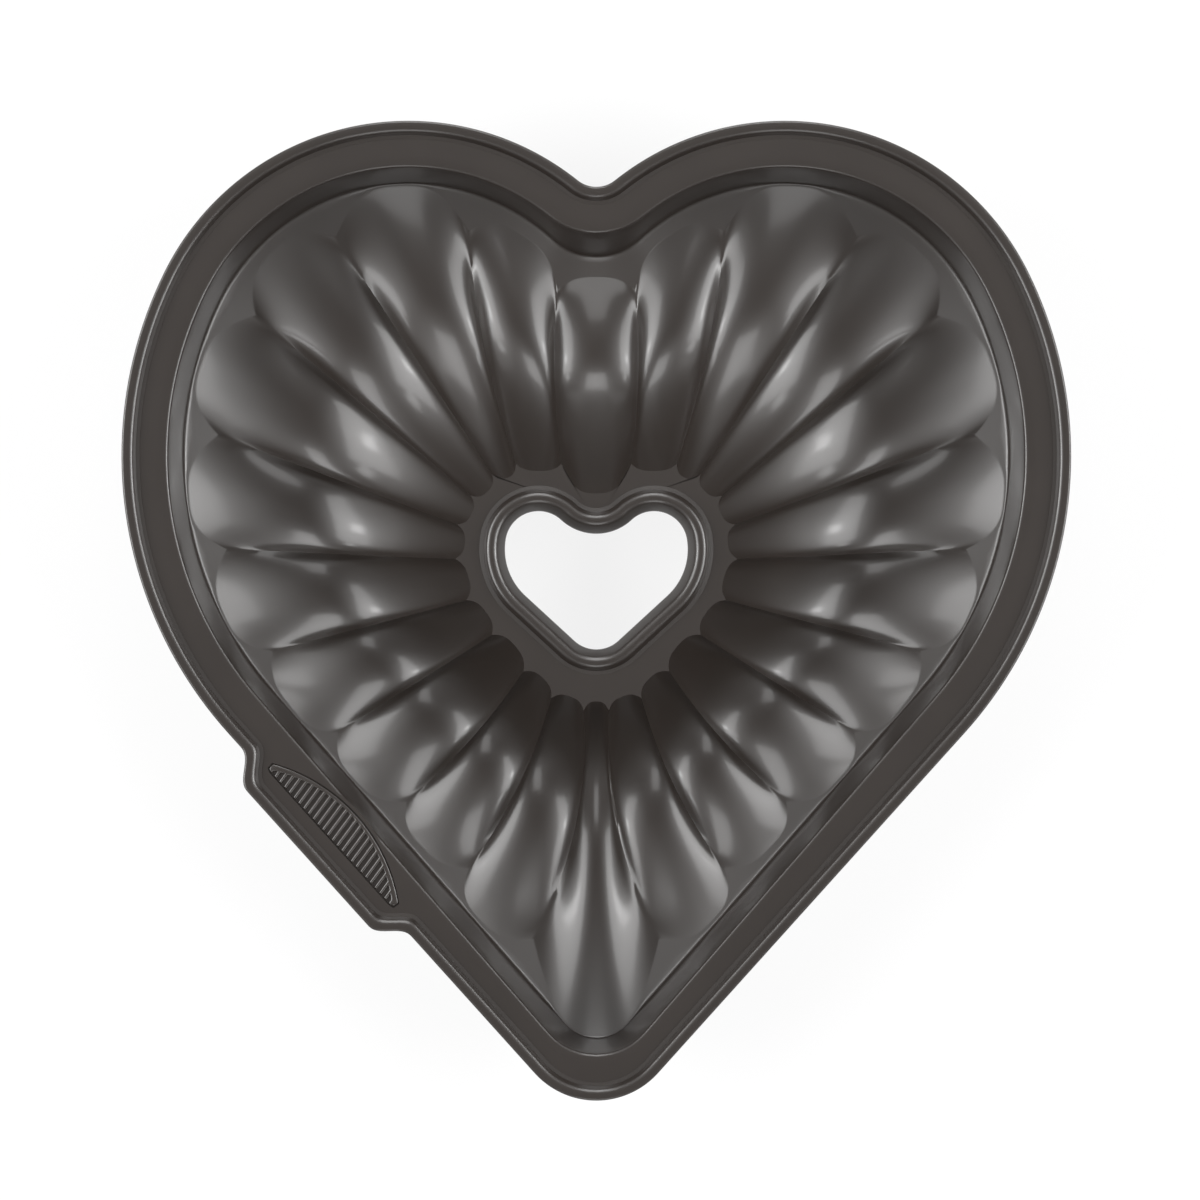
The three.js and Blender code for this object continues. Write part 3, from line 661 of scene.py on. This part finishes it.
buildHoleBead()
print("hole bead done")

# Ribbed pad in the pocket: slanted grooves open towards the rim, rounded ribs between them. The edges
# rounded are those of the top, within topMargin, that turn by more than edgeTurn in degrees
gripPad = {
    "gap": 0.3, "sink": 0.1, "floor": 0.15, "pitch": 1.8, "rib": 1, "standoff": 1.4, "tilt": 11,
    "overrun": 3, "cutAbove": 1, "round": 0.4, "topMargin": 0.01, "edgeTurn": 57.3, "sharpAngle": 40,
}


def buildGripPad():
    low, high = flangeTop - tab["depth"] + gripPad["gap"], flangeTop - gripPad["sink"]
    piece = gripBlock("gripPad", gripPad["gap"], gripPad["gap"], low, high)
    count = int((tab["length"] - 2 * gripPad["standoff"]) / gripPad["pitch"])
    reach = 2 * (tab["inner"] - tab["outer"])
    bm = bmesh.new()
    for groove in range(count):
        size = Matrix.Diagonal((gripPad["pitch"] - gripPad["rib"], reach, tab["depth"], 1))
        turn = Matrix.Rotation(math.radians(gripPad["tilt"]), 4, "Z")
        lift = Matrix.Translation((0, reach / 2 - gripPad["overrun"], 0))
        spot = Matrix.Translation(((groove - (count - 1) / 2) * gripPad["pitch"], tab["outer"], flangeTop))
        bmesh.ops.create_cube(bm, size=1, matrix=Matrix.Scale(mm, 4) @ gripMatrix @ spot @ turn @ lift @ size)
    grooves = finishPiece("grooves", bm)
    grooveTop = flangeTop + gripPad["cutAbove"]
    field = gripBlock("field", gripPad["standoff"], 0, low + gripPad["floor"], grooveTop)
    combine(grooves, field, "INTERSECT")
    combine(piece, grooves, "DIFFERENCE")
    bm = bmesh.new()
    bm.from_mesh(piece.data)
    onTop = {vertex for vertex in bm.verts if vertex.co.z > (high - gripPad["topMargin"]) * mm}
    topEdges = [edge for edge in bm.edges if set(edge.verts) <= onTop]
    edges = [edge for edge in topEdges if math.degrees(edge.calc_face_angle(0)) > gripPad["edgeTurn"]]
    bmesh.ops.bevel(
        bm, geom=edges, offset=gripPad["round"] * mm, segments=3, profile=0.5, affect="EDGES", material=-1,
    )
    bm.to_mesh(piece.data)
    bm.free()
    dressPiece(piece, "grip_pad", gripPad["sharpAngle"])


buildGripPad()
print("grip pad done")


# Studio: a wide softbox at each side throws the shadows. The lights behind and in front, and four small lamps
# for the tight highlights, throw none, so that they reach the petals over the wall
studio = {
    "distance": 1.3, "aimHeight": 0.03, "floorReach": 4, "paperShade": 0.17, "paperRoughness": 0.9,
    "paperGlow": 0.76, "fill": 0.1, "backdrop": 1.0, "sensor": 36, "lens": 351.8, "farthest": 20,
    "camera": (0.00093, 0.0027, 3.0),
}
white = (1, 1, 1, 1)


def softbox(name, azimuth, elevation, size, watts, shadow=False):
    turn, rise = math.radians(azimuth), math.radians(elevation)
    away = Vector((math.cos(rise) * math.cos(turn), math.cos(rise) * math.sin(turn), math.sin(rise)))
    away *= studio["distance"]
    light = bpy.data.lights.new(name, "AREA")
    light.shape = "RECTANGLE"
    light.size, light.size_y = size
    light.energy = watts
    light.use_shadow = shadow
    lamp = bpy.data.objects.new(name, light)
    scene.collection.objects.link(lamp)
    lamp.location = away + Vector((0, 0, studio["aimHeight"]))
    lamp.rotation_euler = (-away).to_track_quat("-Z", "Y").to_euler()


softbox("rightBox", 0, 38, (1.2, 0.75), 16, shadow=True)
softbox("leftBox", 180, 38, (1.2, 0.75), 16, shadow=True)
softbox("backBox", 90, 38, (0.5, 1.1), 9)
softbox("frontBox", 270, 42, (0.4, 0.7), 3)
softbox("rightLamp", 5, 35, (0.2, 0.2), 1.6)
softbox("leftLamp", 175, 35, (0.2, 0.2), 1.6)
softbox("backRightLamp", 38, 35, (0.2, 0.2), 1)
softbox("backLeftLamp", 142, 35, (0.2, 0.2), 1)

# White paper that the camera and reflections see glowing, and that lights the pan only a little
bm = bmesh.new()
bmesh.ops.create_grid(bm, x_segments=1, y_segments=1, size=studio["floorReach"])
floor = finishPiece("floor", bm)
paper, tree, shader = newMaterial("whitePaper")
rays = addNode(tree, "LightPath").outputs
seen = addNode(tree, "Math", {"operation": "MAXIMUM"})
feed(tree, seen.inputs[0], rays["Is Camera Ray"])
feed(tree, seen.inputs[1], rays["Is Glossy Ray"])
glow = addNode(tree, "Math", {"operation": "MULTIPLY"})
feed(tree, glow.inputs[0], seen.outputs["Value"])
feed(tree, glow.inputs[1], studio["paperGlow"])
shade = studio["paperShade"]
shader.inputs["Base Color"].default_value = (shade, shade, shade, 1)
shader.inputs["Roughness"].default_value = studio["paperRoughness"]
shader.inputs["Emission Color"].default_value = white
feed(tree, shader.inputs["Emission Strength"], glow.outputs["Value"])
floor.data.materials.append(paper)

world = bpy.data.worlds.new("studio")
scene.world = world
world.use_nodes = True
tree = world.node_tree
seen = addNode(tree, "LightPath").outputs["Is Camera Ray"]
strength = addNode(tree, "MapRange", Value=seen, To_Min=studio["fill"], To_Max=studio["backdrop"])
feed(tree, tree.nodes["Background"].inputs["Color"], white)
feed(tree, tree.nodes["Background"].inputs["Strength"], strength.outputs["Result"])

lens = bpy.data.cameras.new("camera")
lens.sensor_width = studio["sensor"]
lens.lens = studio["lens"]
lens.clip_end = studio["farthest"]
camera = bpy.data.objects.new("camera", lens)
camera.location = studio["camera"]
scene.collection.objects.link(camera)
scene.camera = camera
scene.view_settings.view_transform = "Standard"
print("studio done")
